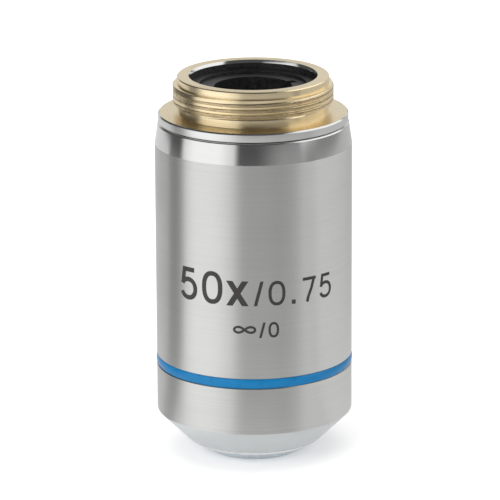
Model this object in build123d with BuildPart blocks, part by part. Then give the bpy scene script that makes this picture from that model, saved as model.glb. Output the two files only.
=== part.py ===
from build123d import *
import math
import os

os.makedirs("parts", exist_ok=True)

# A 50x / 0.75 microscope objective for infinity optics, standing on its nose.
# Millimetres. Z is the optical axis and points at the eyepiece. Zero is the tip of the nose.
# The outer housing is fixed to the microscope; the lens barrel inside it slides back on a spring.

# Mounting standard
parfocal_length = 45.0        # from the sample to the seating shoulder
working_distance = 0.5        # from the sample to the tip
thread_radius = 10.16         # 0.8 inch across, cut at 36 threads to the inch
thread_length = 2.55
thread_chamfer = 0.2
relief_depth = 0.66           # plain neck between the thread and the shoulder
relief_length = 1.15
pilot_depth = 0.56            # plain lead-in past the thread
pilot_length = 1.0
pilot_chamfer = 0.15

# Mount flange, spigot and bore
flange_step = 0.05            # the flange is this much narrower than the sleeve's end
flange_height = 1.02
flange_chamfer = 0.22
mount_wall = 1.5
mount_spigot_length = 2.8     # below the flange, where it stops the spring and the barrel
mount_bevel_width = 0.15      # polished bevel at the mouth of the bore
mount_bevel_depth = 0.4
shim_thickness = 0.18         # sets the parfocal length, and leaves the dark line under the flange

# Black stop ring, screwed into the mount's bore
stop_ring_depth = 1.15        # its top face, below the top of the mount
stop_ring_height = 2.2
stop_rim_width = 1.2
stop_recess_depth = 0.35
stop_land_width = 1.85
spanner_slot_width = 1.1
spanner_slot_length = 0.9
spanner_slot_depth = 0.8
spanner_slot_angle = 24.0

# Walls of the nested tubes, from the lens bore outwards
barrel_neck_wall = 1.0        # the neck is as wide as the mount's bore above it
barrel_wall = 1.45
core_wall = 2.5
nose_spigot_wall = 0.88
sleeve_skirt_wall = 0.58
core_head_step = 0.6          # head of the core, which the outer sleeve hangs on
ledge_width = 1.4             # shelf between the guide bore and the spring chamber

# Outer form
nose_land_width = 0.24        # flat edge at the small end of the nose cone
nose_edge_height = 1.77
nose_cone_angle = 45.0
nose_cone_round = 0.35
nose_wall_height = 6.05       # straight wall between the cone and the colour ring
nose_floor_thickness = 4.73   # from the nose's small end to the foot of the core
nose_spigot_length = 3.45
ring_width = 1.3
ring_crown = 0.06             # the ring's middle stands proud of the body
ring_notch = 0.12             # and its edges lie below it
sleeve_taper_length = 2.75
sleeve_taper_drop = 0.42
sleeve_chamfer = 0.18

# Spring chamber and sliding lens barrel
core_head_length = 2.0
spring_chamber_depth = 13.3
retraction = 1.7              # how far the front gives way when it meets a sample
stop_clearance = 0.3          # left above the barrel at the end of that travel
barrel_flange_gap = 0.2
barrel_flange_thickness = 1.5
guide_land_length = 4.0       # fitted length at each end of the guide
guide_relief_depth = 0.15
spacer_wall = 1.0
barrel_lock_length = 1.2
barrel_lock_width = 2.4
barrel_lock_slot_width = 1.2

# Front cell and front lens
tip_radius = 5.89
front_cell_head_length = 3.2
front_joint_wall = 0.85       # barrel wall round the front cell's spigot
front_lens_recess = 0.15
front_lens_face_radius = 1.5
front_lens_flank_height = 0.95
front_lens_radius = 2.3
front_lens_rim_height = 0.25
front_lens_curve_margin = 0.2 # the dome's radius over the lens's own
front_lens_countersink = 0.6
front_lens_space = 0.2        # air between the front lens and the meniscus cell
meniscus_cell_wall = 1.98
meniscus_cell_cover = 2.42    # wall of the front cell round the meniscus cell

# Lens cells and glass
lens_lip_width = 0.6
lens_lip_thickness = 0.6
lens_end_clearance = 0.35
crown_edge = 0.45             # thinnest glass of a bulging lens, at its rim
flint_centre = 0.8            # thinnest glass of a hollow lens, on the axis
cement_thickness = 0.01
centring_cell_play = 0.5      # room for the centring cell to move sideways in the bore

# Small screws and the return spring
guide_screw_radius = 1.0
guide_screw_drop = 4.0        # from the barrel's ledge down to the screw
guide_screw_sink = 0.15
guide_dog_radius = 0.8
guide_slot_depth = 0.85
guide_dog_gap = 0.1
centring_screw_radius = 0.6
centring_screw_sink = 0.15
centring_screw_count = 3
driver_slot_width = 0.3
driver_slot_depth = 0.35
spring_wire = 0.9
spring_wire_sides = 8         # flats that stand for the round wire
spring_turns = 4.5

# Fits
slip_gap = 0.02               # radial, between pieces pushed or screwed together
running_gap = 0.05            # radial, between the barrel and its guide
nose_bore_gap = 0.08          # radial, between the barrel and the nose sleeve
seat_gap = 0.02               # under the barrel's flange at rest

# Glass, from the front to the rear: the wall of its cell, and the radius of each of its faces in turn
# as a multiple of its own radius, where plus bulges to the front
meniscus_shape = (-2.8, -1.44)
doublet_cell_wall = 3.18
doublet_shape = (10.5, 1.85, -2.25)
triplet_cell_wall = 2.38
triplet_shape = (3.05, -2.4, 2.4, -3.05)
centring_cell_wall = 2.3
centring_shape = (2.6, -2.85, -14.0)
hollow_cell_wall = 3.58
hollow_shape = (2.05, -3.5, 1.35)
rear_cell_wall = 3.38
rear_shape = (-1.55, -2.35)
single_lens_thinnest = 1.5    # thinnest glass of the meniscus and of the rear lens


def sag(curve, radius):
    """How far a spherical face falls back towards +Z at a radius, negative where it is hollow."""
    depth = abs(curve) - math.sqrt(curve ** 2 - radius ** 2)
    return math.copysign(depth, curve)


def face_radii(shape, radius):
    """Radii of a group's faces, from its shape and the radius of its glass."""
    return [ratio * radius for ratio in shape]


def centre_thicknesses(curves, radius):
    """Thickness on the axis of each element, from the thinnest that its glass may be."""
    single = len(curves) == 2
    thicknesses = []
    for front, rear in zip(curves, curves[1:]):
        loss = sag(front, radius) - sag(rear, radius)
        thinnest = crown_edge if loss > 0 else flint_centre
        if single:
            thinnest = single_lens_thinnest
        thicknesses.append(thinnest + max(0, loss))
    return thicknesses


def first_vertex(front_curve, radius):
    """First vertex of the glass over its cell's front: a bulge rests on the lip's corner, a hollow on its rim."""
    touch_radius = radius - lens_lip_width if front_curve > 0 else radius
    return lens_lip_thickness - sag(front_curve, touch_radius)


def group_length(curves, radius):
    """Length of the cell that holds a lens group with its end clearance."""
    thicknesses = centre_thicknesses(curves, radius)
    glass = sum(thicknesses) + cement_thickness * (len(thicknesses) - 1)
    return first_vertex(curves[0], radius) + glass + max(0, sag(curves[-1], radius)) + lens_end_clearance


# Radii worked out from the thread inwards, and from the lens bore outwards
relief_radius = thread_radius - relief_depth
pilot_radius = thread_radius - pilot_depth
mount_bore_radius = relief_radius - mount_wall
stop_recess_radius = mount_bore_radius - stop_rim_width
stop_aperture_radius = stop_recess_radius - stop_land_width
barrel_neck_radius = mount_bore_radius
lens_bore_radius = barrel_neck_radius - barrel_neck_wall
barrel_radius = lens_bore_radius + barrel_wall
cell_radius = lens_bore_radius - slip_gap
guide_bore_radius = barrel_radius + running_gap
core_radius = guide_bore_radius + core_wall
core_head_radius = core_radius + core_head_step
ring_seat_radius = core_radius + slip_gap + nose_spigot_wall
body_radius = ring_seat_radius + slip_gap + sleeve_skirt_wall
spring_chamber_radius = guide_bore_radius + ledge_width
barrel_flange_radius = spring_chamber_radius - barrel_flange_gap
front_cell_spigot_radius = barrel_radius - front_joint_wall
nose_edge_radius = barrel_radius + nose_bore_gap + nose_land_width
sleeve_taper_radius = body_radius - sleeve_taper_drop
flange_radius = sleeve_taper_radius - flange_step
mount_spigot_radius = spring_chamber_radius - slip_gap
meniscus_cell_radius = front_cell_spigot_radius - meniscus_cell_cover
centring_cell_radius = lens_bore_radius - centring_cell_play

# Radii of the glass, and of its faces
meniscus_radius = meniscus_cell_radius - meniscus_cell_wall
doublet_radius = cell_radius - doublet_cell_wall
triplet_radius = cell_radius - triplet_cell_wall
centring_radius = centring_cell_radius - centring_cell_wall
hollow_radius = cell_radius - hollow_cell_wall
rear_radius = cell_radius - rear_cell_wall
meniscus_curves = face_radii(meniscus_shape, meniscus_radius)
doublet_curves = face_radii(doublet_shape, doublet_radius)
triplet_curves = face_radii(triplet_shape, triplet_radius)
centring_curves = face_radii(centring_shape, centring_radius)
hollow_curves = face_radii(hollow_shape, hollow_radius)
rear_curves = face_radii(rear_shape, rear_radius)

# Heights of the outer housing
shoulder_z = parfocal_length - working_distance
flange_bottom_z = shoulder_z - flange_height
thread_start_z = shoulder_z + relief_length
thread_end_z = thread_start_z + thread_length
mount_top_z = thread_end_z + pilot_length
core_top_z = flange_bottom_z - shim_thickness
mount_spigot_bottom_z = flange_bottom_z - mount_spigot_length
core_head_bottom_z = core_top_z - core_head_length
ledge_z = core_top_z - spring_chamber_depth
guide_screw_z = ledge_z - guide_screw_drop
nose_floor_z = nose_edge_height + nose_floor_thickness
cone_height = (body_radius - nose_edge_radius) * math.tan(math.radians(nose_cone_angle))
cone_top_z = nose_edge_height + cone_height
ring_bottom_z = cone_top_z + nose_wall_height
ring_top_z = ring_bottom_z + ring_width
nose_spigot_top_z = ring_bottom_z + nose_spigot_length

# Heights of the lens stack, from the tip to the spacer and from the mount down to it
front_slope = nose_edge_height / (nose_edge_radius - tip_radius)
front_edge_z = (barrel_radius - tip_radius) * front_slope
front_lens_curve = front_lens_radius + front_lens_curve_margin
front_lens_flank_z = front_lens_recess + front_lens_flank_height
front_lens_rim_z = front_lens_flank_z + front_lens_rim_height
front_lens_top_z = front_lens_rim_z + sag(front_lens_curve, front_lens_radius)
meniscus_z = front_lens_top_z + front_lens_space
doublet_z = meniscus_z + group_length(meniscus_curves, meniscus_radius)
triplet_z = doublet_z + group_length(doublet_curves, doublet_radius)
centring_z = triplet_z + group_length(triplet_curves, triplet_radius)
spacer_z = centring_z + group_length(centring_curves, centring_radius)
barrel_top_z = mount_spigot_bottom_z - retraction - stop_clearance
barrel_lock_z = barrel_top_z - barrel_lock_length
rear_z = barrel_lock_z - group_length(rear_curves, rear_radius)
hollow_z = rear_z - group_length(hollow_curves, hollow_radius)
spacer_length = hollow_z - spacer_z
barrel_flange_z = ledge_z + seat_gap
barrel_flange_top_z = barrel_flange_z + barrel_flange_thickness
hair = 0.001                  # reach of an edge selector


def rim(builder, height, place=-1):
    """The widest circular edge at a height, or the narrowest where place is 0."""
    circles = builder.edges().filter_by(GeomType.CIRCLE)
    level = circles.filter_by_position(Axis.Z, height - hair, height + hair)
    return level.sort_by(SortBy.RADIUS)[place]


def keep(builder, name):
    """Label a finished piece and write it."""
    builder.part.label = name
    export_step(builder.part, f"parts/{name}.step")


# Thread mount: one brass turning with flange, relief neck, thread, pilot and spigot
with BuildPart() as thread_mount:
    with BuildSketch(Plane.XZ):
        with BuildLine():
            Polyline(
                (mount_bore_radius, mount_spigot_bottom_z),
                (mount_spigot_radius, mount_spigot_bottom_z),
                (mount_spigot_radius, flange_bottom_z),
                (flange_radius, flange_bottom_z),
                (flange_radius, shoulder_z),
                (relief_radius, shoulder_z),
                (relief_radius, thread_start_z),
                (thread_radius, thread_start_z),
                (thread_radius, thread_end_z),
                (pilot_radius, thread_end_z),
                (pilot_radius, mount_top_z),
                (mount_bore_radius + mount_bevel_width, mount_top_z),
                (mount_bore_radius, mount_top_z - mount_bevel_depth),
                close=True,
            )
        make_face()
    revolve(axis=Axis.Z)
    chamfer(rim(thread_mount, shoulder_z), flange_chamfer)
    chamfer(rim(thread_mount, thread_start_z), thread_chamfer)
    chamfer(rim(thread_mount, thread_end_z), thread_chamfer)
    chamfer(rim(thread_mount, mount_top_z), pilot_chamfer)
keep(thread_mount, "thread_mount")

# Parfocal shim: a thin brass washer between the core and the flange
with BuildPart() as parfocal_shim:
    with BuildSketch(Plane.XY.offset(core_top_z)):
        Circle(core_radius)
        Circle(spring_chamber_radius, mode=Mode.SUBTRACT)
    extrude(amount=shim_thickness)
keep(parfocal_shim, "parfocal_shim")

# Rear stop ring: black, with a shallow recess, the pupil stop and two spanner slots
stop_top_z = mount_top_z - stop_ring_depth
stop_recess_z = stop_top_z - stop_recess_depth
slot_middle = stop_aperture_radius + spanner_slot_length / 2
with BuildPart() as rear_stop_ring:
    with BuildSketch(Plane.XY.offset(stop_top_z - stop_ring_height)):
        Circle(mount_bore_radius - slip_gap)
        Circle(stop_aperture_radius, mode=Mode.SUBTRACT)
    extrude(amount=stop_ring_height)
    with BuildSketch(Plane.XY.offset(stop_top_z)):
        Circle(stop_recess_radius)
    extrude(amount=-stop_recess_depth, mode=Mode.SUBTRACT)
    with BuildSketch(Plane.XY.offset(stop_recess_z)):
        with PolarLocations(slot_middle, 2, start_angle=spanner_slot_angle):
            Rectangle(spanner_slot_length * 2, spanner_slot_width)
        Circle(stop_aperture_radius + spanner_slot_length, mode=Mode.INTERSECT)
    extrude(amount=-spanner_slot_depth, mode=Mode.SUBTRACT)
keep(rear_stop_ring, "rear_stop_ring")

# Core: the inner tube that carries everything, with the guide bore below and the spring chamber above
with BuildPart() as core_tube:
    with BuildSketch(Plane.XZ):
        with BuildLine():
            Polyline(
                (guide_bore_radius, nose_floor_z),
                (core_radius, nose_floor_z),
                (core_radius, core_head_bottom_z),
                (core_head_radius, core_head_bottom_z),
                (core_head_radius, core_top_z),
                (spring_chamber_radius, core_top_z),
                (spring_chamber_radius, ledge_z),
                (guide_bore_radius, ledge_z),
                close=True,
            )
        make_face()
    revolve(axis=Axis.Z)
    with BuildSketch(Plane.XZ):
        with Locations((0, guide_screw_z)):
            Circle(guide_screw_radius + slip_gap)
    extrude(amount=-core_radius, mode=Mode.SUBTRACT)
keep(core_tube, "core_tube")

# Nose sleeve: the lower cylinder and cone, screwed over the core's foot, with a spigot for the ring
with BuildPart() as nose_sleeve:
    with BuildSketch(Plane.XZ):
        with BuildLine():
            Polyline(
                (barrel_radius + nose_bore_gap, nose_edge_height),
                (nose_edge_radius, nose_edge_height),
                (body_radius, cone_top_z),
                (body_radius, ring_bottom_z),
                (ring_seat_radius, ring_bottom_z),
                (ring_seat_radius, nose_spigot_top_z),
                (core_radius + slip_gap, nose_spigot_top_z),
                (core_radius + slip_gap, nose_floor_z),
                (barrel_radius + nose_bore_gap, nose_floor_z),
                close=True,
            )
        make_face()
    revolve(axis=Axis.Z)
    fillet(rim(nose_sleeve, cone_top_z), nose_cone_round)
keep(nose_sleeve, "nose_sleeve")

# Colour ring: a glossy band with a rounded face, held between the nose sleeve and the outer sleeve
with BuildPart() as colour_ring:
    ring_edge_radius = body_radius - ring_notch
    with BuildSketch(Plane.XZ):
        with BuildLine():
            Polyline(
                (ring_edge_radius, ring_bottom_z),
                (ring_seat_radius + slip_gap, ring_bottom_z),
                (ring_seat_radius + slip_gap, ring_top_z),
                (ring_edge_radius, ring_top_z),
            )
            ThreePointArc(
                (ring_edge_radius, ring_top_z),
                (body_radius + ring_crown, ring_bottom_z + ring_width / 2),
                (ring_edge_radius, ring_bottom_z),
            )
        make_face()
    revolve(axis=Axis.Z)
keep(colour_ring, "colour_ring")

# Outer sleeve: slides over the core from below and hangs on the core's head
with BuildPart() as outer_sleeve:
    with BuildSketch(Plane.XZ):
        with BuildLine():
            Polyline(
                (ring_seat_radius + slip_gap, ring_top_z),
                (body_radius, ring_top_z),
                (body_radius, core_top_z - sleeve_taper_length),
                (sleeve_taper_radius, core_top_z),
                (core_head_radius + slip_gap, core_top_z),
                (core_head_radius + slip_gap, core_head_bottom_z),
                (core_radius + slip_gap, core_head_bottom_z),
                (core_radius + slip_gap, nose_spigot_top_z),
                (ring_seat_radius + slip_gap, nose_spigot_top_z),
                close=True,
            )
        make_face()
    revolve(axis=Axis.Z)
    chamfer(rim(outer_sleeve, core_top_z), sleeve_chamfer)
keep(outer_sleeve, "outer_sleeve")

# Guide screw: its dog runs in a slot of the barrel, which therefore slides and doesn't turn
with BuildPart() as guide_screw:
    screw_face = Plane.XZ.offset(-(core_radius - guide_screw_sink))
    dog_tip_y = barrel_radius - guide_slot_depth + guide_dog_gap
    with BuildSketch(screw_face):
        with Locations((0, guide_screw_z)):
            Circle(guide_screw_radius)
    extrude(amount=core_radius - guide_screw_sink - guide_bore_radius)
    with BuildSketch(screw_face):
        with Locations((0, guide_screw_z)):
            Circle(guide_dog_radius)
    extrude(amount=core_radius - guide_screw_sink - dog_tip_y)
    with BuildSketch(screw_face):
        with Locations((0, guide_screw_z)):
            Rectangle(guide_screw_radius * 2, driver_slot_width)
    extrude(amount=driver_slot_depth, mode=Mode.SUBTRACT)
keep(guide_screw, "guide_screw")

# Return spring: open coil with its ends ground flat, from the barrel's flange to the mount's spigot
spring_length = mount_spigot_bottom_z - barrel_flange_top_z
with BuildPart() as return_spring:
    with BuildLine() as coil:
        Helix(
            pitch=spring_length / spring_turns,
            height=spring_length,
            radius=(barrel_neck_radius + spring_chamber_radius) / 2,
            center=(0, 0, barrel_flange_top_z),
        )
    with BuildSketch(Plane(origin=coil.line @ 0, z_dir=coil.line % 0)):
        RegularPolygon(spring_wire / 2, spring_wire_sides)
    sweep(is_frenet=True)
    split(bisect_by=Plane.XY.offset(barrel_flange_top_z + seat_gap), keep=Keep.TOP)
    split(bisect_by=Plane.XY.offset(mount_spigot_bottom_z - seat_gap), keep=Keep.BOTTOM)
keep(return_spring, "return_spring")


# Glass and its cells
def lens(name, vertex_z, thickness, front_curve, rear_curve, radius):
    """One glass element, turned from its two arcs."""
    rear_vertex_z = vertex_z + thickness
    front_rim_z = vertex_z + sag(front_curve, radius)
    rear_rim_z = rear_vertex_z + sag(rear_curve, radius)
    half = radius / 2
    with BuildPart() as element:
        with BuildSketch(Plane.XZ):
            with BuildLine():
                Line((0, rear_vertex_z), (0, vertex_z))
                ThreePointArc(
                    (0, vertex_z),
                    (half, vertex_z + sag(front_curve, half)),
                    (radius, front_rim_z),
                )
                Line((radius, front_rim_z), (radius, rear_rim_z))
                ThreePointArc(
                    (radius, rear_rim_z),
                    (half, rear_vertex_z + sag(rear_curve, half)),
                    (0, rear_vertex_z),
                )
            make_face()
        revolve(axis=Axis.Z)
    keep(element, name)


def lens_group(front_z, curves, radius, cell_name, outer_radius, names):
    """The cemented elements of one group, and the turned ring with a lip and a pocket that holds them."""
    vertex_z = front_z + first_vertex(curves[0], radius)
    faces = zip(names, centre_thicknesses(curves, radius), curves, curves[1:])
    for name, thickness, front_curve, rear_curve in faces:
        lens(name, vertex_z, thickness, front_curve, rear_curve, radius)
        vertex_z = vertex_z + thickness + cement_thickness
    length = group_length(curves, radius)
    with BuildPart() as cell:
        with BuildSketch(Plane.XY.offset(front_z)):
            Circle(outer_radius)
            Circle(radius - lens_lip_width, mode=Mode.SUBTRACT)
        extrude(amount=length)
        with BuildSketch(Plane.XY.offset(front_z + lens_lip_thickness)):
            Circle(radius + slip_gap)
        extrude(amount=length - lens_lip_thickness, mode=Mode.SUBTRACT)
        chamfer(rim(cell, front_z, 0), lens_lip_thickness / 2)
    keep(cell, cell_name)


# Front cell: the visible tip, turned to a shallow cone, with the front lens in its middle
with BuildPart() as front_cell:
    lens_seat_radius = front_lens_radius + slip_gap
    lens_face_radius = front_lens_face_radius + slip_gap
    with BuildSketch(Plane.XZ):
        with BuildLine():
            Polyline(
                (front_lens_face_radius + front_lens_countersink, 0),
                (tip_radius, 0),
                (barrel_radius, front_edge_z),
                (barrel_radius, front_cell_head_length),
                (front_cell_spigot_radius, front_cell_head_length),
                (front_cell_spigot_radius, doublet_z),
                (meniscus_cell_radius, doublet_z),
                (meniscus_cell_radius, meniscus_z),
                (lens_seat_radius, meniscus_z),
                (lens_seat_radius, front_lens_flank_z),
                (lens_face_radius, front_lens_recess),
                close=True,
            )
        make_face()
    revolve(axis=Axis.Z)
keep(front_cell, "front_cell")

# Front lens: a thick lens with a small flat face and a strongly curved back
with BuildPart() as front_lens:
    lens_half = front_lens_radius / 2
    with BuildSketch(Plane.XZ):
        with BuildLine():
            Polyline(
                (0, front_lens_top_z),
                (0, front_lens_recess),
                (front_lens_face_radius, front_lens_recess),
                (front_lens_radius, front_lens_flank_z),
                (front_lens_radius, front_lens_rim_z),
            )
            ThreePointArc(
                (front_lens_radius, front_lens_rim_z),
                (lens_half, front_lens_top_z - sag(front_lens_curve, lens_half)),
                (0, front_lens_top_z),
            )
        make_face()
    revolve(axis=Axis.Z)
keep(front_lens, "front_lens")

# Meniscus behind the front lens, inside the front cell
lens_group(
    meniscus_z, meniscus_curves, meniscus_radius, "meniscus_cell",
    meniscus_cell_radius - slip_gap, ["meniscus_lens"],
)

# Front doublet and triplet, in the barrel's bore
lens_group(
    doublet_z, doublet_curves, doublet_radius, "doublet_cell",
    cell_radius, ["doublet_flint", "doublet_crown"],
)
lens_group(
    triplet_z, triplet_curves, triplet_radius, "triplet_cell",
    cell_radius, ["triplet_front_crown", "triplet_flint", "triplet_rear_crown"],
)

# Centring doublet: its cell has play in the bore and is set by three screws
lens_group(
    centring_z, centring_curves, centring_radius, "centring_cell",
    centring_cell_radius, ["centring_crown", "centring_flint"],
)

# Hollow-backed doublet and rear lens, beyond the spacer tube
lens_group(
    hollow_z, hollow_curves, hollow_radius, "hollow_cell",
    cell_radius, ["hollow_crown", "hollow_flint"],
)
lens_group(rear_z, rear_curves, rear_radius, "rear_cell", cell_radius, ["rear_lens"])

# Spacer tube: fills the bore between the centring cell and the hollow doublet
with BuildPart() as spacer_tube:
    with BuildSketch(Plane.XY.offset(spacer_z)):
        Circle(cell_radius)
        Circle(cell_radius - spacer_wall, mode=Mode.SUBTRACT)
    extrude(amount=spacer_length)
keep(spacer_tube, "spacer_tube")

# Barrel lock ring: screwed in behind the last cell, with two slots for a spanner
with BuildPart() as barrel_lock_ring:
    with BuildSketch(Plane.XY.offset(barrel_lock_z)):
        Circle(cell_radius)
        Circle(cell_radius - barrel_lock_width, mode=Mode.SUBTRACT)
    extrude(amount=barrel_lock_length)
    with BuildSketch(Plane.XY.offset(barrel_top_z)):
        Rectangle(cell_radius * 2, barrel_lock_slot_width)
    extrude(amount=-barrel_lock_length / 2, mode=Mode.SUBTRACT)
keep(barrel_lock_ring, "barrel_lock_ring")

# Lens barrel: the sliding tube, with a flange for the spring, guide lands and the screw slot
relief_bottom_z = nose_floor_z + guide_land_length
relief_top_z = guide_screw_z - retraction - guide_land_length
centring_screw_z = (centring_z + spacer_z) / 2
with BuildPart() as lens_barrel:
    with BuildSketch(Plane.XZ):
        with BuildLine():
            Polyline(
                (front_cell_spigot_radius + slip_gap, front_cell_head_length),
                (barrel_radius, front_cell_head_length),
                (barrel_radius, relief_bottom_z),
                (barrel_radius - guide_relief_depth, relief_bottom_z),
                (barrel_radius - guide_relief_depth, relief_top_z),
                (barrel_radius, relief_top_z),
                (barrel_radius, barrel_flange_z),
                (barrel_flange_radius, barrel_flange_z),
                (barrel_flange_radius, barrel_flange_top_z),
                (barrel_neck_radius, barrel_flange_top_z),
                (barrel_neck_radius, barrel_top_z),
                (lens_bore_radius, barrel_top_z),
                (lens_bore_radius, doublet_z),
                (front_cell_spigot_radius + slip_gap, doublet_z),
                close=True,
            )
        make_face()
    revolve(axis=Axis.Z)
    slot_half_width = guide_dog_radius + guide_dog_gap
    slot_top_z = guide_screw_z + slot_half_width
    slot_bottom_z = guide_screw_z - retraction - slot_half_width
    with BuildSketch(Plane.XZ.offset(-barrel_radius)):
        with Locations((0, (slot_top_z + slot_bottom_z) / 2)):
            SlotOverall(slot_top_z - slot_bottom_z, slot_half_width * 2, rotation=90)
    extrude(amount=guide_slot_depth, mode=Mode.SUBTRACT)
    with Locations((0, 0, centring_screw_z)):
        with PolarLocations(0, centring_screw_count):
            Cylinder(
                centring_screw_radius + slip_gap, barrel_radius, rotation=(0, 90, 0),
                align=(Align.CENTER, Align.CENTER, Align.MIN), mode=Mode.SUBTRACT,
            )
keep(lens_barrel, "lens_barrel")

# Centring screws: three headless screws through the barrel's wall onto the centring cell
with BuildPart() as centring_screws:
    screw_length = barrel_radius - guide_relief_depth - centring_screw_sink - centring_cell_radius
    for screw_number in range(centring_screw_count):
        turn = 360 / centring_screw_count * screw_number
        axis_plane = Plane(origin=(0, 0, centring_screw_z), z_dir=Vector(1, 0, 0).rotate(Axis.Z, turn))
        with BuildSketch(axis_plane.offset(centring_cell_radius + slip_gap)):
            Circle(centring_screw_radius)
        extrude(amount=screw_length - slip_gap)
        with BuildSketch(axis_plane.offset(centring_cell_radius + screw_length)):
            Rectangle(centring_screw_radius * 2, driver_slot_width)
        extrude(amount=-driver_slot_depth, mode=Mode.SUBTRACT)
keep(centring_screws, "centring_screws")
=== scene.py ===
import math

import bmesh
import bpy
from mathutils import Matrix, Vector


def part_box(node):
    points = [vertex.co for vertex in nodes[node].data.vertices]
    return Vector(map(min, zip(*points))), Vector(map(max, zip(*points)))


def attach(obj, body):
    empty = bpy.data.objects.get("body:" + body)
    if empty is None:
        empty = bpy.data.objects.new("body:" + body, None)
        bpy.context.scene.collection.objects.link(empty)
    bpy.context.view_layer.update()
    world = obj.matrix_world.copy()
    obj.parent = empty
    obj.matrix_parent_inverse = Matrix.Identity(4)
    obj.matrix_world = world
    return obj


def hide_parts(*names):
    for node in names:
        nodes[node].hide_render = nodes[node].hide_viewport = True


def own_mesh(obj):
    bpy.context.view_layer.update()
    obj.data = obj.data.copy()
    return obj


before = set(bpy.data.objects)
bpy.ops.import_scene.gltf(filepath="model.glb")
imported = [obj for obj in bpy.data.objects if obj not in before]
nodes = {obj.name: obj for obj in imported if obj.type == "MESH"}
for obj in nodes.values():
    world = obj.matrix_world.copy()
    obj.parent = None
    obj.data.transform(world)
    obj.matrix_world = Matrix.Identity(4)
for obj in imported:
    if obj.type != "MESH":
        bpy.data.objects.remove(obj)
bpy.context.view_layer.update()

MM = 0.001
TAU = 2 * math.pi
TURNS = 256          # facets round a plain turned piece
THREAD_TURNS = 320   # facets round the thread mount


# Heights and radii of the frame, in millimetres
def low(node):
    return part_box(node)[0].z / MM


def high(node):
    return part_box(node)[1].z / MM


def widest(node):
    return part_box(node)[1].x / MM


slip_gap = 0.02
core_head_height = 2.0
nose_spigot_height = 3.45
body_r = widest("outer_sleeve")
ring_low, ring_high = low("colour_ring"), high("colour_ring")
sleeve_top = high("outer_sleeve")
flange_low = high("parfocal_shim")
mount_top = high("thread_mount")
nose_low = low("nose_sleeve")
barrel_r = widest("front_cell")
bore_r = widest("rear_stop_ring") + slip_gap
sleeve_seat_r = 11.92
skirt_r = 11.02
core_head_r = widest("core_tube") + slip_gap
core_head_low = sleeve_top - core_head_height
spigot_top = ring_low + nose_spigot_height
nose_floor = low("core_tube")

flange_height = 1.02
neck_height = 1.15
thread_height = 2.55
shoulder = flange_low + flange_height
thread_low = shoulder + neck_height
thread_high = thread_low + thread_height
flange_r = 12.03
crest_r = 10.16
neck_r = 9.5
pilot_r = 9.6
thread_pitch = 0.7056
thread_depth = 0.24
mount_spigot_r = 9.88
mount_low = low("thread_mount")
shim_r = widest("parfocal_shim")
flange_lip = 0.06


# Materials
class Nodes:
    """Short calls for building one material's node tree."""

    def __init__(self, name):
        self.material = bpy.data.materials.new(name)
        self.material.use_nodes = True
        self.tree = self.material.node_tree
        self.tree.nodes.clear()
        self.out = self.add("ShaderNodeOutputMaterial")

    def add(self, kind, **values):
        node = self.tree.nodes.new(kind)
        for key, value in values.items():
            setattr(node, key, value)
        return node

    def link(self, source, target):
        self.tree.links.new(source, target)

    def principled(self, **values):
        shader = self.add("ShaderNodeBsdfPrincipled")
        for key, value in values.items():
            shader.inputs[key.replace("_", " ")].default_value = value
        self.link(shader.outputs[0], self.out.inputs[0])
        return shader

    def math(self, operation, a, b=0.0):
        node = self.add("ShaderNodeMath", operation=operation)
        for socket, value in zip(node.inputs, (a, b)):
            if isinstance(value, (int, float)):
                socket.default_value = value
            else:
                self.link(value, socket)
        return node.outputs[0]

    def ramp(self, factor, low_value, high_value, low_at=0.0, high_at=1.0):
        node = self.add("ShaderNodeMapRange")
        node.inputs["From Min"].default_value = low_at
        node.inputs["From Max"].default_value = high_at
        node.inputs["To Min"].default_value = low_value
        node.inputs["To Max"].default_value = high_value
        self.link(factor, node.inputs["Value"])
        return node.outputs[0]

    def mix(self, factor, first, second):
        node = self.add("ShaderNodeMix", data_type="RGBA")
        self.link(factor, node.inputs[0])
        for socket, value in ((node.inputs[6], first), (node.inputs[7], second)):
            if isinstance(value, tuple):
                socket.default_value = (*value, 1.0)
            else:
                self.link(value, socket)
        return node.outputs[2]

    def noise(self, vector, scale, detail):
        node = self.add("ShaderNodeTexNoise")
        node.inputs["Scale"].default_value = scale
        node.inputs["Detail"].default_value = detail
        self.link(vector, node.inputs["Vector"])
        return node.outputs["Fac"]

    def bump(self, shader, height, strength, distance):
        node = self.add("ShaderNodeBump")
        node.inputs["Strength"].default_value = strength
        node.inputs["Distance"].default_value = distance
        self.link(height, node.inputs["Height"])
        self.link(node.outputs[0], shader.inputs["Normal"])

    def turned_vector(self, density, around):
        """Object coordinates stretched so that a noise makes fine rings round the optical axis."""
        place = self.add("ShaderNodeTexCoord").outputs["Object"]
        split = self.add("ShaderNodeSeparateXYZ")
        self.link(place, split.inputs[0])
        x, y, z = split.outputs
        radius = self.math("SQRT", self.math("ADD", self.math("MULTIPLY", x, x), self.math("MULTIPLY", y, y)))
        join = self.add("ShaderNodeCombineXYZ")
        self.link(self.math("MULTIPLY", self.math("ARCTAN2", y, x), around), join.inputs[0])
        self.link(self.math("MULTIPLY", radius, density), join.inputs[1])
        self.link(self.math("MULTIPLY", z, density), join.inputs[2])
        return join.outputs[0]


RING_DENSITY = 9000.0     # fine tool marks, per metre
CLOUD_DENSITY = 260.0     # broad patches, per metre
CLOUD_AROUND = 2.2        # broad patches, per radian


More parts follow.
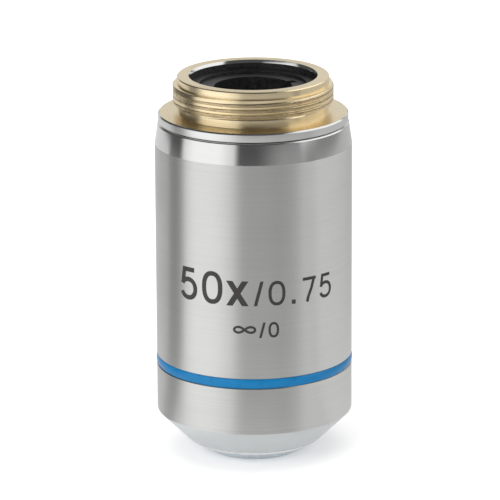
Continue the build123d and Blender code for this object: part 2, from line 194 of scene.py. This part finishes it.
def turned_metal(name, bright, dull, roughness, anisotropy, groove, streak=0.5, spread=0.06):
    """Metal off a lathe: fine marks in colour, roughness and relief, and highlights drawn out along the axis.

    The marks are long rings where the streak is small, and short flecks where it is large.
    """
    n = Nodes(name)
    shader = n.principled(Metallic=1.0, Anisotropic=anisotropy, Anisotropic_Rotation=0.25)
    tangent = n.add("ShaderNodeTangent", direction_type="RADIAL", axis="Z")
    n.link(tangent.outputs[0], shader.inputs["Tangent"])
    fine = n.noise(n.turned_vector(RING_DENSITY, streak), 1.0, 3.0)
    cloud = n.noise(n.turned_vector(CLOUD_DENSITY, CLOUD_AROUND), 1.0, 4.0)
    blend = n.math("ADD", n.math("MULTIPLY", fine, 0.65), n.math("MULTIPLY", cloud, 0.35))
    n.link(n.mix(n.ramp(blend, 0.0, 1.0, 0.36, 0.64), dull, bright), shader.inputs["Base Color"])
    n.link(n.ramp(cloud, roughness - spread, roughness + spread, 0.3, 0.7), shader.inputs["Roughness"])
    n.bump(shader, fine, groove, 0.00002)
    return n.material


def coated(name, first, second, roughness, scale, coat, specular=0.5):
    """Paint, lacquer or anodising over metal, with a faint mottle."""
    n = Nodes(name)
    shader = n.principled(Coat_Weight=coat, Coat_Roughness=0.06, Specular_IOR_Level=specular)
    place = n.add("ShaderNodeTexCoord").outputs["Object"]
    mottle = n.noise(place, scale, 4.0)
    n.link(n.mix(n.ramp(mottle, 0.0, 1.0, 0.3, 0.7), first, second), shader.inputs["Base Color"])
    n.link(n.ramp(mottle, roughness - 0.04, roughness + 0.06, 0.3, 0.7), shader.inputs["Roughness"])
    n.bump(shader, mottle, 0.08, 0.00001)
    return n.material


def optical_glass(name, coating):
    """Polished glass whose coating tints it a little, stronger towards its rim."""
    n = Nodes(name)
    shader = n.principled(Roughness=0.01, Transmission_Weight=1.0, IOR=1.62, Coat_Weight=0.2, Coat_IOR=1.38)
    facing = n.add("ShaderNodeLayerWeight")
    facing.inputs["Blend"].default_value = 0.35
    n.link(n.mix(facing.outputs["Facing"], (0.96, 0.97, 0.98), coating), shader.inputs["Base Color"])
    return n.material


satin = turned_metal("satin_chrome", (0.74, 0.745, 0.73), (0.70, 0.705, 0.69), 0.42, 0.9, 0.10, spread=0.02)
satin_rim = turned_metal("satin_rim", (0.74, 0.745, 0.735), (0.71, 0.715, 0.705), 0.34, 0.5, 0.05,
                         spread=0.02)
# The nose sleeve's cone in a darker, bluer copy of the satin chrome: the darkening is painted shade for the
# downward-facing cone, which faces the shadowed floor
satin_cone_painted_shade = turned_metal("satin_cone_painted_shade", (0.62, 0.645, 0.65), (0.59, 0.615, 0.62), 0.40, 0.7, 0.10,
                          spread=0.02)
polished = turned_metal("polished_chrome", (0.69, 0.695, 0.685), (0.67, 0.675, 0.665), 0.15, 0.6, 0.03,
                        spread=0.01)
nickel = turned_metal("nickel_tip", (0.55, 0.60, 0.64), (0.46, 0.51, 0.55), 0.30, 0.6, 0.2)
brass = turned_metal("thread_brass", (0.93, 0.79, 0.53), (0.80, 0.66, 0.42), 0.27, 0.6, 0.35)
brass_face = turned_metal("bare_brass_face", (0.88, 0.76, 0.51), (0.70, 0.58, 0.37), 0.30, 0.5, 0.35,
                          streak=70.0)
inner_brass = turned_metal("inner_brass", (0.62, 0.49, 0.28), (0.48, 0.37, 0.20), 0.38, 0.5, 0.3)
blue = coated("ring_blue_lacquer", (0.0, 0.150, 0.365), (0.0, 0.175, 0.415), 0.30, 900.0, 0.12, specular=0.25)
black = coated("black_anodised_bore", (0.003, 0.003, 0.0035), (0.024, 0.023, 0.023), 0.42, 2500.0, 0.0)
ink = coated("mark_ink", (0.022, 0.020, 0.019), (0.034, 0.031, 0.029), 0.5, 3000.0, 0.0)
steel = turned_metal("screw_steel", (0.60, 0.61, 0.63), (0.48, 0.49, 0.50), 0.28, 0.4, 0.2)
glass = optical_glass("coated_glass", (0.80, 0.86, 0.98))
warm_edge = turned_metal("warm_edge", (0.66, 0.52, 0.36), (0.52, 0.40, 0.27), 0.35, 0.3, 0.2)


# Turned pieces
def rounded(corners, steps=4):
    """Corners (r, z, rounding, material), where the material is that of the face after the corner."""
    points = []
    count = len(corners)
    for i, (r, z, rounding, material) in enumerate(corners):
        before = Vector(corners[i - 1][:2])
        after = Vector(corners[(i + 1) % count][:2])
        corner = Vector((r, z))
        if not rounding:
            points.append((r, z, material))
            continue
        start = corner + (before - corner).normalized() * rounding
        end = corner + (after - corner).normalized() * rounding
        for step in range(steps + 1):
            t = step / steps
            p = start * (1 - t) ** 2 + corner * 2 * t * (1 - t) + end * t ** 2
            points.append((p.x, p.y, material if step >= steps / 2 else corners[i - 1][3]))
    return points


def divided(points, longest):
    """The same outline with its long runs along the axis cut into shorter ones."""
    result = []
    for (r, z, material), (r2, z2, _) in zip(points, points[1:] + points[:1]):
        parts = max(1, math.ceil(abs(z2 - z) / longest))
        for part in range(parts):
            t = part / parts
            result.append((r + (r2 - r) * t, z + (z2 - z) * t, material))
    return result


def finish_mesh(name, bm, materials, body, replaced, smooth_angle=35.0):
    """Turn a bmesh into a piece of the object and say what it rides on and stands for."""
    bmesh.ops.recalc_face_normals(bm, faces=bm.faces)
    mesh = bpy.data.meshes.new(name)
    bm.to_mesh(mesh)
    bm.free()
    mesh.shade_smooth()
    mesh.set_sharp_from_angle(angle=math.radians(smooth_angle))
    for material in materials:
        mesh.materials.append(material)
    piece = bpy.data.objects.new(name, mesh)
    bpy.context.scene.collection.objects.link(piece)
    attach(piece, body)
    if replaced:
        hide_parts(*replaced)
    return piece


def lathe(name, points, materials, body, replaced=(), warp=None, turns=TURNS, smooth_angle=35.0):
    """A closed outline (r, z, material) turned round the optical axis; warp may move a point by its angle."""
    bm = bmesh.new()
    rows = []
    for r, z, _ in points:
        row = []
        for k in range(turns):
            angle = TAU * k / turns
            radius = warp(r, z, angle) if warp else r
            row.append(bm.verts.new((radius * math.cos(angle) * MM, radius * math.sin(angle) * MM, z * MM)))
        rows.append(row)
    for i, row in enumerate(rows):
        after = rows[(i + 1) % len(rows)]
        for k in range(turns):
            face = bm.faces.new((row[k], row[(k + 1) % turns], after[(k + 1) % turns], after[k]))
            face.material_index = points[i][2]
    return finish_mesh(name, bm, materials, body, replaced, smooth_angle)


# Thread mount: a helical thread on a brass turning with a plated rim and a polished bevel at its mouth
BRASS, FACE, RIM, BLACK, WALL = range(5)


def fade(value, start, end):
    """0 at the start, 1 at the end, smooth between."""
    t = min(1.0, max(0.0, (value - start) / (end - start)))
    return t * t * (3 - 2 * t)


crest_flat = 0.3        # share of the wave left uncut, which makes the crest's flat
thread_runout = 0.16


def thread_cut(r, z, angle):
    """Right-hand thread: a rounded V groove that climbs one pitch a turn and runs out at both ends."""
    if r < crest_r - 0.02 or not thread_low <= z <= thread_high:
        return r
    phase = ((z - thread_low) / thread_pitch - angle / TAU) % 1.0
    wave = 0.5 - 0.5 * math.cos(TAU * phase)
    groove = max(0.0, (wave - crest_flat) / (1 - crest_flat))
    starting = fade(z, thread_low, thread_low + thread_runout)
    ending = fade(z, thread_high - thread_runout, thread_high)
    ends = starting * (1 - ending)
    return r - thread_depth * groove * ends


thread_chamfer = 0.14
pilot_chamfer_r, pilot_chamfer_z = 0.12, 0.14
flange_chamfer = 0.17
mouth_bevel_r, mouth_bevel_z = 0.15, 0.4
top_face = mount_top - 0.02
thread_step = 0.028          # tallest facet on the thread
lip_r = shim_r + 0.04        # the flange's edge hangs a little over the shim
mount_corners = [
    (bore_r, mount_low, 0, FACE),
    (mount_spigot_r, mount_low, 0.05, FACE),
    (mount_spigot_r, flange_low, 0, FACE),
    (lip_r, flange_low, 0, FACE),
    (lip_r, flange_low - flange_lip, 0, RIM),
    (flange_r, flange_low - flange_lip, 0.03, WALL),
    (flange_r, shoulder - flange_chamfer, 0.02, RIM),
    (flange_r - flange_chamfer, shoulder, 0.02, FACE),
    (neck_r, shoulder, 0.06, BRASS),
    (neck_r, thread_low, 0, BRASS),
    (crest_r - thread_chamfer, thread_low, 0, BRASS),
    (crest_r, thread_low + thread_chamfer, 0, BRASS),
    (crest_r, thread_high - thread_chamfer, 0, BRASS),
    (crest_r - thread_chamfer, thread_high, 0, BRASS),
    (pilot_r, thread_high, 0, BRASS),
    (pilot_r, mount_top - pilot_chamfer_z, 0.04, BRASS),
    (pilot_r - pilot_chamfer_r, top_face, 0.04, FACE),
    (bore_r + mouth_bevel_r, top_face, 0.02, RIM),
    (bore_r, mount_top - mouth_bevel_z, 0.05, BLACK),
]
mount_outline = []
outline = rounded(mount_corners)
for here, after in zip(outline, outline[1:] + outline[:1]):
    on_thread = here[0] > crest_r - 0.01 and after[0] > crest_r - 0.01 and thread_low < here[1] < thread_high
    mount_outline.extend(divided([here, after], thread_step)[:-1] if on_thread else [here])
lathe("thread_mount_turned", mount_outline, (brass, brass_face, polished, black, satin_rim), "housing",
      ("thread_mount",), warp=thread_cut, turns=THREAD_TURNS, smooth_angle=50.0)

# Outer sleeve: satin band, polished taper, bare warm edge beside the ring
SATIN, POLISHED, EDGE, CONE = range(4)
ring_edge = 0.06
taper_height = 2.75
taper_top_r = 12.08
taper_slope = 0.0275         # what the taper gains over the height of its top chamfer
top_chamfer = 0.18
sleeve_corners = [
    (sleeve_seat_r, ring_high, 0, SATIN),
    (body_r - ring_edge, ring_high, 0, EDGE),
    (body_r, ring_high + ring_edge, 0.02, SATIN),
    (body_r, sleeve_top - taper_height, 0.05, POLISHED),
    (taper_top_r + taper_slope, sleeve_top - top_chamfer, 0.04, POLISHED),
    (taper_top_r - top_chamfer, sleeve_top, 0.03, POLISHED),
    (core_head_r, sleeve_top, 0, SATIN),
    (core_head_r, core_head_low, 0, SATIN),
    (skirt_r, core_head_low, 0, SATIN),
    (skirt_r, spigot_top, 0, SATIN),
    (sleeve_seat_r, spigot_top, 0, SATIN),
]
lathe("outer_sleeve_turned", divided(rounded(sleeve_corners), 4.0), (satin, polished, warm_edge), "housing",
      ("outer_sleeve",))

# Nose sleeve: the lower wall and the cone
cone_top = 5.5
nose_bore_r = barrel_r + 0.08
nose_edge_r = nose_bore_r + 0.24
nose_spigot_r = 11.9
# The cone and the lower face take the darker satin copy, which paints in shade
nose_corners = [
    (nose_bore_r, nose_low, 0, CONE),
    (nose_edge_r, nose_low, 0.06, CONE),
    (body_r, cone_top, 0.12, SATIN),
    (body_r, ring_low - ring_edge, 0.02, EDGE),
    (body_r - ring_edge, ring_low, 0, SATIN),
    (nose_spigot_r, ring_low, 0, SATIN),
    (nose_spigot_r, spigot_top, 0, SATIN),
    (skirt_r, spigot_top, 0, SATIN),
    (skirt_r, nose_floor, 0, SATIN),
    (nose_bore_r, nose_floor, 0, SATIN),
]
lathe("nose_sleeve_turned", divided(rounded(nose_corners), 3.0), (satin, polished, warm_edge, satin_cone_painted_shade),
      "housing", ("nose_sleeve",), smooth_angle=25.0)

# Colour ring: a lacquered band with a rounded face
ring_edge_r = body_r - 0.12
ring_bulge = 0.18
ring_steps = 12
ring_points = [(sleeve_seat_r, ring_low, 0), (sleeve_seat_r, ring_high, 0)]
for step in range(ring_steps + 1):
    t = step / ring_steps
    bulge = ring_bulge * math.sin(math.pi * t) ** 0.8
    ring_points.append((ring_edge_r + bulge, ring_high - (ring_high - ring_low) * t, 0))
lathe("colour_ring_turned", ring_points, (blue,), "housing", ("colour_ring",))

# Front cell: the shallow tip, with the pocket for the front lens
tip_r = 5.89
edge_land = 0.12
edge_z = (barrel_r - tip_r) * nose_low / (nose_edge_r - tip_r) - edge_land
step_r, step_z = 7.6, 3.2            # where the cell enters the barrel
cell_bore_r = 5.18
cell_top = high("front_cell")
cell_floor = low("meniscus_cell")
lens_bore_r, lens_seat_z = 2.32, 1.1
window_r, window_z = 1.52, 0.15
window_bevel_r = 2.12
cell_corners = [
    (window_bevel_r, 0.0, 0.05, 0),
    (tip_r, 0.0, 0.12, 0),
    (barrel_r, edge_z, 0.1, 1),
    (barrel_r, step_z, 0, 0),
    (step_r, step_z, 0, 0),
    (step_r, cell_top, 0, 0),
    (cell_bore_r, cell_top, 0, 0),
    (cell_bore_r, cell_floor, 0, 0),
    (lens_bore_r, cell_floor, 0, 0),
    (lens_bore_r, lens_seat_z, 0, 0),
    (window_r, window_z, 0.03, 0),
]
lathe("front_cell_turned", divided(rounded(cell_corners), 2.0), (nickel, polished), "lens_barrel",
      ("front_cell",))

# Return spring: round wire with flat ground ends
spring_r = 8.95
wire_r = 0.44
wire_sides = 14
spring_coils = 4.5
steps_per_coil = 64
spring_floor = round(low("return_spring"), 3)
spring_roof = round(high("return_spring"), 3)
bm = bmesh.new()
rings = []
steps = int(spring_coils * steps_per_coil)
for step in range(steps + 1):
    t = step / steps
    angle = TAU * spring_coils * t
    middle = spring_floor + (spring_roof - spring_floor) * t
    ring = []
    for side in range(wire_sides):
        turn = TAU * side / wire_sides
        radius = spring_r + wire_r * math.cos(turn)
        height = min(spring_roof, max(spring_floor, middle + wire_r * math.sin(turn)))
        ring.append(bm.verts.new((radius * math.cos(angle) * MM, radius * math.sin(angle) * MM, height * MM)))
    rings.append(ring)
for ring, after in zip(rings, rings[1:]):
    for side in range(wire_sides):
        bm.faces.new((ring[side], ring[(side + 1) % wire_sides], after[(side + 1) % wire_sides], after[side]))
bm.faces.new(rings[0])
bm.faces.new(reversed(rings[-1]))
spring = finish_mesh("return_spring_wire", bm, (steel,), "housing", ("return_spring",))
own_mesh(spring)


# Marks: plain numbers for power, aperture, tube length and cover glass, in ink on the sleeve
INK_LIFT = 0.012     # the ink's face stands this far off the sleeve, in millimetres
INK_SINK = 0.03      # and its back lies this far in it


def arc(cx, cz, rx, rz, start, end, count=28, power=2.0):
    """Points on an ellipse, squared a little where the power is over two, by angle in degrees."""
    points = []
    for step in range(count + 1):
        a = math.radians(start + (end - start) * step / count)
        c, s = math.cos(a), math.sin(a)
        points.append((cx + rx * math.copysign(abs(c) ** (2 / power), c),
                       cz + rz * math.copysign(abs(s) ** (2 / power), s)))
    return points


def offset_outline(path, width, closed):
    """Left and right edges of a pen stroke along a path, with mitred corners."""
    left, right = [], []
    count = len(path)
    for i, point in enumerate(path):
        here = Vector(point)
        before = Vector(path[i - 1]) if closed or i else None
        after = Vector(path[(i + 1) % count]) if closed or i < count - 1 else None
        first = (here - before).normalized() if before is not None else None
        second = (after - here).normalized() if after is not None else None
        first = first if first is not None else second
        second = second if second is not None else first
        normal_a = Vector((-first.y, first.x))
        normal_b = Vector((-second.y, second.x))
        normal = (normal_a + normal_b).normalized()
        reach = width / 2 / max(0.35, normal.dot(normal_a))
        left.append(here + normal * reach)
        right.append(here - normal * reach)
    return left, right


def ink_face(bm, corners):
    """One flat patch of ink, wrapped on the sleeve."""
    verts = []
    radius = body_r + INK_LIFT
    for s, z in corners:
        angle = s / body_r
        verts.append(bm.verts.new((radius * math.sin(angle) * MM, -radius * math.cos(angle) * MM, z * MM)))
    return bm.faces.new(verts)


def stepped(path, closed, longest=0.2):
    """The same path with its long runs cut, so that the ink follows the sleeve's curve."""
    result = []
    ends = path[1:] + path[:1] if closed else path[1:]
    for start, end in zip(path, ends):
        parts = max(1, math.ceil(math.dist(start, end) / longest))
        for part in range(parts):
            t = part / parts
            result.append((start[0] + (end[0] - start[0]) * t, start[1] + (end[1] - start[1]) * t))
    return result if closed else result + [path[-1]]


def stroke(bm, path, width, closed=False):
    path = stepped(path, closed)
    left, right = offset_outline(path, width, closed)
    count = len(path)
    for i in range(count if closed else count - 1):
        j = (i + 1) % count
        ink_face(bm, (left[i], right[i], right[j], left[j]))


def slanted(bm, foot, head, low_z, high_z, width, parts=12):
    """A straight slanted bar with level ends."""
    for part in range(parts):
        t, t2 = part / parts, (part + 1) / parts
        s, s2 = foot + (head - foot) * t, foot + (head - foot) * t2
        z, z2 = low_z + (high_z - low_z) * t, low_z + (high_z - low_z) * t2
        ink_face(bm, ((s - width / 2, z), (s, z), (s2, z2), (s2 - width / 2, z2)))
        ink_face(bm, ((s, z), (s + width / 2, z), (s2 + width / 2, z2), (s2, z2)))


def finish_mark(name, bm):
    """Join the patches, give the ink its thickness and put it on the housing."""
    bmesh.ops.remove_doubles(bm, verts=bm.verts, dist=1e-7)
    bmesh.ops.recalc_face_normals(bm, faces=bm.faces)
    top = list(bm.faces)
    under = bmesh.ops.extrude_face_region(bm, geom=top)
    scale = (body_r - INK_SINK) / (body_r + INK_LIFT)
    for item in under["geom"]:
        if isinstance(item, bmesh.types.BMVert):
            item.co.x *= scale
            item.co.y *= scale
    finish_mesh(name, bm, (ink,), "housing", ())


def mark_zero(name, left_s, width, low_z, height, pen):
    bm = bmesh.new()
    path = arc(left_s + width / 2, low_z + height / 2, (width - pen) / 2, (height - pen) / 2, 0, 360,
               count=64, power=2.35)
    stroke(bm, path[:-1], pen, closed=True)
    finish_mark(name, bm)


def mark_five(name, left_s, width, low_z, height, pen):
    bm = bmesh.new()
    x0, z0 = left_s + pen / 2, low_z + pen / 2
    w, h = width - pen, height - pen
    bar = [(0.93, 1.0), (0.155, 1.0), (0.03, 0.47)]
    stroke(bm, [(x0 + w * x, z0 + h * z) for x, z in bar], pen)
    bowl = arc(0.47, 0.325, 0.53, 0.325, 152, -158, 40, 2.15)
    stroke(bm, [(x0 + w * x, z0 + h * z) for x, z in bowl], pen)
    finish_mark(name, bm)


def mark_seven(name, left_s, width, low_z, height, pen):
    bm = bmesh.new()
    top = low_z + height - pen / 2
    leg = [(left_s + width - pen * 0.75, top), (left_s + width * 0.66, low_z + height * 0.55),
           (left_s + width * 0.42, low_z + height * 0.22), (left_s + width * 0.33, low_z)]
    stroke(bm, [(left_s, top), (left_s + width, top)], pen)
    stroke(bm, leg, pen)
    finish_mark(name, bm)


def mark_cross(name, left_s, width, low_z, height, pen):
    bm = bmesh.new()
    slant = pen * 1.38
    slanted(bm, left_s + slant / 2, left_s + width - slant / 2, low_z, low_z + height, slant)
    slanted(bm, left_s + width - slant / 2, left_s + slant / 2, low_z, low_z + height, slant)
    finish_mark(name, bm)


def mark_slash(name, left_s, width, low_z, height, pen):
    bm = bmesh.new()
    slant = pen * 1.06
    slanted(bm, left_s + slant / 2, left_s + width - slant / 2, low_z, low_z + height, slant)
    finish_mark(name, bm)


def mark_dot(name, left_s, width, low_z, height):
    bm = bmesh.new()
    stroke(bm, [(left_s, low_z + height / 2), (left_s + width, low_z + height / 2)], height)
    finish_mark(name, bm)


def mark_infinity(name, left_s, width, low_z, height, pen):
    bm = bmesh.new()
    half_w, half_h = (width - pen) / 2, (height - pen) / 2
    path = []
    for step in range(72):
        a = TAU * step / 72 + TAU / 144
        denominator = 1 + math.sin(a) ** 2
        path.append((left_s + width / 2 + half_w * math.cos(a) / denominator ** 0.75,
                     low_z + height / 2 + half_h * 1.62 * math.sin(a) * math.cos(a) / denominator ** 0.55))
    stroke(bm, path, pen, closed=True)
    finish_mark(name, bm)


# Each mark: its left edge along the sleeve from the front line, its width, the height of its foot above
# the tip, its own height and its pen width, which the point has none of, in millimetres
BASE = 22.46
BOLD = 0.60
LIGHT = 0.40
SMALL_BASE = 18.30
FINE = 0.30
mark_five("mark_power_five", -10.29, 2.70, BASE, 4.26, BOLD)
mark_zero("mark_power_zero", -6.86, 2.83, BASE, 4.26, BOLD)
mark_cross("mark_power_times", -3.55, 2.84, BASE, 3.22, BOLD)
mark_slash("mark_slash_wide", -0.06, 1.25, BASE, 3.2, LIGHT)
mark_zero("mark_aperture_zero", 1.79, 2.18, BASE, 3.2, LIGHT)
mark_dot("mark_aperture_point", 4.83, 0.52, BASE, 0.55)
mark_seven("mark_aperture_seven", 6.37, 1.95, BASE, 3.2, LIGHT)
mark_five("mark_aperture_five", 8.96, 2.08, BASE, 3.2, LIGHT)
mark_infinity("mark_tube_length", -2.70, 2.94, 18.65, 1.42, FINE)
mark_slash("mark_slash_small", 0.59, 0.84, SMALL_BASE, 2.02, FINE)
mark_zero("mark_cover_glass", 1.77, 1.36, SMALL_BASE, 2.02, FINE)

# Carried-over pieces
for name, material in (
    ("rear_stop_ring", black), ("spacer_tube", black), ("barrel_lock_ring", black), ("meniscus_cell", black),
    ("doublet_cell", black), ("triplet_cell", black), ("centring_cell", black), ("hollow_cell", black),
    ("rear_cell", black), ("parfocal_shim", inner_brass), ("core_tube", inner_brass),
    ("lens_barrel", inner_brass),
    ("guide_screw", steel), ("centring_screws", steel),
    ("front_lens", glass), ("meniscus_lens", glass), ("doublet_flint", glass), ("doublet_crown", glass),
    ("triplet_front_crown", glass), ("triplet_flint", glass), ("triplet_rear_crown", glass),
    ("centring_crown", glass), ("centring_flint", glass), ("hollow_crown", glass), ("hollow_flint", glass),
    ("rear_lens", glass),
):
    slots = nodes[name].data.materials
    slots.clear()
    slots.append(material)


# Floor and background
FLOOR_WHITE = 0.95
FLOOR_GLOW = 0.30


def floor_material():
    """Pale paper: diffuse for the shadow, with a glow that the camera and reflections see."""
    n = Nodes("floor_paper")
    diffuse = n.add("ShaderNodeBsdfDiffuse")
    diffuse.inputs["Color"].default_value = (FLOOR_WHITE, FLOOR_WHITE, FLOOR_WHITE, 1)
    glow = n.add("ShaderNodeEmission")
    path = n.add("ShaderNodeLightPath")
    seen = n.math("MAXIMUM", path.outputs["Is Camera Ray"],
                  n.math("MAXIMUM", path.outputs["Is Glossy Ray"], path.outputs["Is Transmission Ray"]))
    n.link(n.math("MULTIPLY", seen, FLOOR_GLOW), glow.inputs["Strength"])
    total = n.add("ShaderNodeAddShader")
    n.link(diffuse.outputs[0], total.inputs[0])
    n.link(glow.outputs[0], total.inputs[1])
    n.link(total.outputs[0], n.out.inputs[0])
    return n.material


def stage_object(name, mesh, material):
    mesh.materials.append(material)
    thing = bpy.data.objects.new(name, mesh)
    bpy.context.scene.collection.objects.link(thing)
    return thing


FLOOR_HALF = 1.5
floor_mesh = bpy.data.meshes.new("floor")
floor_corners = [(-FLOOR_HALF, -FLOOR_HALF, 0), (FLOOR_HALF, -FLOOR_HALF, 0),
                 (FLOOR_HALF, FLOOR_HALF, 0), (-FLOOR_HALF, FLOOR_HALF, 0)]
floor_mesh.from_pydata(floor_corners, [], [(0, 1, 2, 3)])
stage_object("floor", floor_mesh, floor_material())

world = bpy.data.worlds.new("studio")
bpy.context.scene.world = world
world.use_nodes = True
world.node_tree.nodes["Background"].inputs["Color"].default_value = (1.0, 1.0, 1.0, 1.0)
world.node_tree.nodes["Background"].inputs["Strength"].default_value = 1.0


# The studio that only reflections see. Azimuth 0 is the camera's side and grows to the right, and
# elevation is from the floor up. Each panel: azimuth from and to, its soft edge, elevation from and to,
# its soft edge, brightness
ROOM_TONE = 0.09
PANELS = {
    "front_wall": (18, 76, 36, -10, 12, 8, 0.38),
    "right_wall": (64, 150, 6, -10, 6, 6, 0.28),
    "rear_wall_left": (-185, -150, 10, 4, 55, 10, 0.80),
    "rear_wall_right": (146, 185, 10, 4, 55, 10, 0.80),
    "left_softbox": (-90, -20, 8, -90, 30, 8, 0.95),
    "left_softbox_middle": (-80, -32, 20, -90, 30, 8, 1.28),
    "right_softbox": (57, 142, 6, 10, 64, 6, 1.3),
}
# The table the same way, with its brightness far from the object and near it
TABLE_FAR_RADIUS = 0.125
TABLE_NEAR_RADIUS = 0.035
TABLE_TONE = (0.66, 0.80)
TABLE_PANELS = {
    "left_sheet": (-87, -20, 6, 0.98, 1.0),
    "left_sheet_middle": (-80, -36, 18, 1.25, 1.15),
    "left_gap": (-114, -87, 8, 0.30, 0.60),
    "left_rear": (-185, -113, 10, 0.82, 0.84),
    "right_sheet": (20, 61, 20, 0.52, 0.68),
    "right_gap": (61, 74, 3, 0.32, 0.64),
    "right_rear": (76, 185, 4, 0.60, 0.78),
}


def window(value, start, end, soft):
    """1 between start and end, falling to 0 over the soft width round each."""
    rise = fade(value, start - soft / 2, start + soft / 2)
    fall = 1 - fade(value, end - soft / 2, end + soft / 2)
    return rise * fall


def wall_tone(azimuth, elevation):
    tone = ROOM_TONE
    for start, end, soft, low_el, high_el, soft_el, brightness in PANELS.values():
        weight = window(azimuth, start, end, soft) * window(elevation, low_el, high_el, soft_el)
        tone += (brightness - tone) * weight
    return tone


def table_tone(azimuth, radius):
    near = 1 - fade(radius, TABLE_NEAR_RADIUS, TABLE_FAR_RADIUS)
    tone = TABLE_TONE[0] + (TABLE_TONE[1] - TABLE_TONE[0]) * near
    for start, end, soft, far_brightness, near_brightness in TABLE_PANELS.values():
        brightness = far_brightness + (near_brightness - far_brightness) * near
        tone += (brightness - tone) * window(azimuth, start, end, soft)
    return tone


def reflected_only(name, verts, faces, tones):
    """A glowing sheet that only direct reflections see: not the camera, nor light on its way to the floor."""
    n = Nodes(name)
    glow = n.add("ShaderNodeEmission")
    tone = n.add("ShaderNodeAttribute", attribute_name="tone").outputs["Fac"]
    scattered = n.add("ShaderNodeLightPath").outputs["Diffuse Depth"]
    direct = n.math("SUBTRACT", 1.0, n.math("MINIMUM", scattered, 1.0))
    n.link(n.math("MULTIPLY", tone, direct), glow.inputs["Strength"])
    n.link(glow.outputs[0], n.out.inputs[0])
    mesh = bpy.data.meshes.new(name)
    mesh.from_pydata(verts, [], faces)
    mesh.attributes.new("tone", "FLOAT", "POINT").data.foreach_set("value", tones)
    thing = stage_object(name, mesh, n.material)
    thing.visible_camera = False
    thing.visible_diffuse = False
    thing.visible_transmission = False
    thing.visible_shadow = False


def grid_faces(rows, columns):
    return [(i * columns + j, i * columns + j + 1, (i + 1) * columns + j + 1, (i + 1) * columns + j)
            for i in range(rows - 1) for j in range(columns - 1)]


STUDIO_RADIUS = 0.6
TABLE_LIFT = 0.0002      # above the floor
GRID_DEGREES = 2
NEAR_ZENITH = 89.9       # short of overhead, so that the last ring keeps some width
azimuths = list(range(-180, 181, GRID_DEGREES))
elevations = list(range(0, 90, GRID_DEGREES)) + [NEAR_ZENITH]
dome_verts, dome_tones = [], []
for elevation in elevations:
    for azimuth in azimuths:
        a, e = math.radians(azimuth), math.radians(elevation)
        out = STUDIO_RADIUS * math.cos(e)
        dome_verts.append((out * math.sin(a), -out * math.cos(a), STUDIO_RADIUS * math.sin(e)))
        dome_tones.append(wall_tone(azimuth, elevation))
reflected_only("studio_dome", dome_verts, grid_faces(len(elevations), len(azimuths)), dome_tones)

# Closest together where the table's brightness changes
table_radii = [0.014, 0.035, 0.05, 0.065, 0.08, 0.095, 0.11, 0.125, 0.3, 0.61]
table_verts, table_tones = [], []
for radius in table_radii:
    for azimuth in azimuths:
        a = math.radians(azimuth)
        table_verts.append((radius * math.sin(a), -radius * math.cos(a), TABLE_LIFT))
        table_tones.append(table_tone(azimuth, radius))
reflected_only("studio_table", table_verts, grid_faces(len(table_radii), len(azimuths)), table_tones)


LAMP_TARGET = Vector((0, 0, 0.022))


def softbox(name, azimuth, elevation, distance, size, power):
    """A lamp that lights the floor, the ring and the ink; metal reflects the studio's panels instead."""
    light = bpy.data.lights.new(name, "AREA")
    light.shape = "RECTANGLE"
    light.size, light.size_y = size
    light.energy = power
    lamp = bpy.data.objects.new(name, light)
    bpy.context.scene.collection.objects.link(lamp)
    a, e = math.radians(azimuth), math.radians(elevation)
    place = Vector((math.sin(a) * math.cos(e), -math.cos(a) * math.cos(e), math.sin(e))) * distance
    lamp.location = LAMP_TARGET + place
    lamp.rotation_euler = (-place).to_track_quat("-Z", "Y").to_euler()
    lamp.visible_glossy = False


softbox("softbox_front", azimuth=-35, elevation=30, distance=0.8, size=(0.5, 0.5), power=2.0)

# Camera, at the photograph's viewing angle, with its place and target in millimetres
VIEW_DISTANCE = 520.08
VIEW_ELEVATION = math.radians(16.109)
VIEW_ROLL = math.radians(0.2864)
VIEW_TARGET = Vector((-0.494, 0.0, 26.171))
VIEW_FOCAL_PIXELS = 4076.83
PICTURE_PIXELS = 500
SENSOR_WIDTH = 36
back = Vector((0, -math.cos(VIEW_ELEVATION), math.sin(VIEW_ELEVATION)))
level = Vector((1, 0, 0))
upward = Vector((0, math.sin(VIEW_ELEVATION), math.cos(VIEW_ELEVATION)))
right = level * math.cos(VIEW_ROLL) - upward * math.sin(VIEW_ROLL)
top = level * math.sin(VIEW_ROLL) + upward * math.cos(VIEW_ROLL)
camera_data = bpy.data.cameras.new("photo_camera")
camera_data.sensor_width = SENSOR_WIDTH
camera_data.lens = VIEW_FOCAL_PIXELS / PICTURE_PIXELS * SENSOR_WIDTH
camera_data.clip_start = 0.01
camera_data.clip_end = 10
camera = bpy.data.objects.new("photo_camera", camera_data)
bpy.context.scene.collection.objects.link(camera)
matrix = Matrix((right, top, back)).transposed().to_4x4()
matrix.translation = (VIEW_TARGET + back * VIEW_DISTANCE) * MM
camera.matrix_world = matrix
bpy.context.scene.camera = camera
bpy.context.scene.view_settings.view_transform = "Standard"
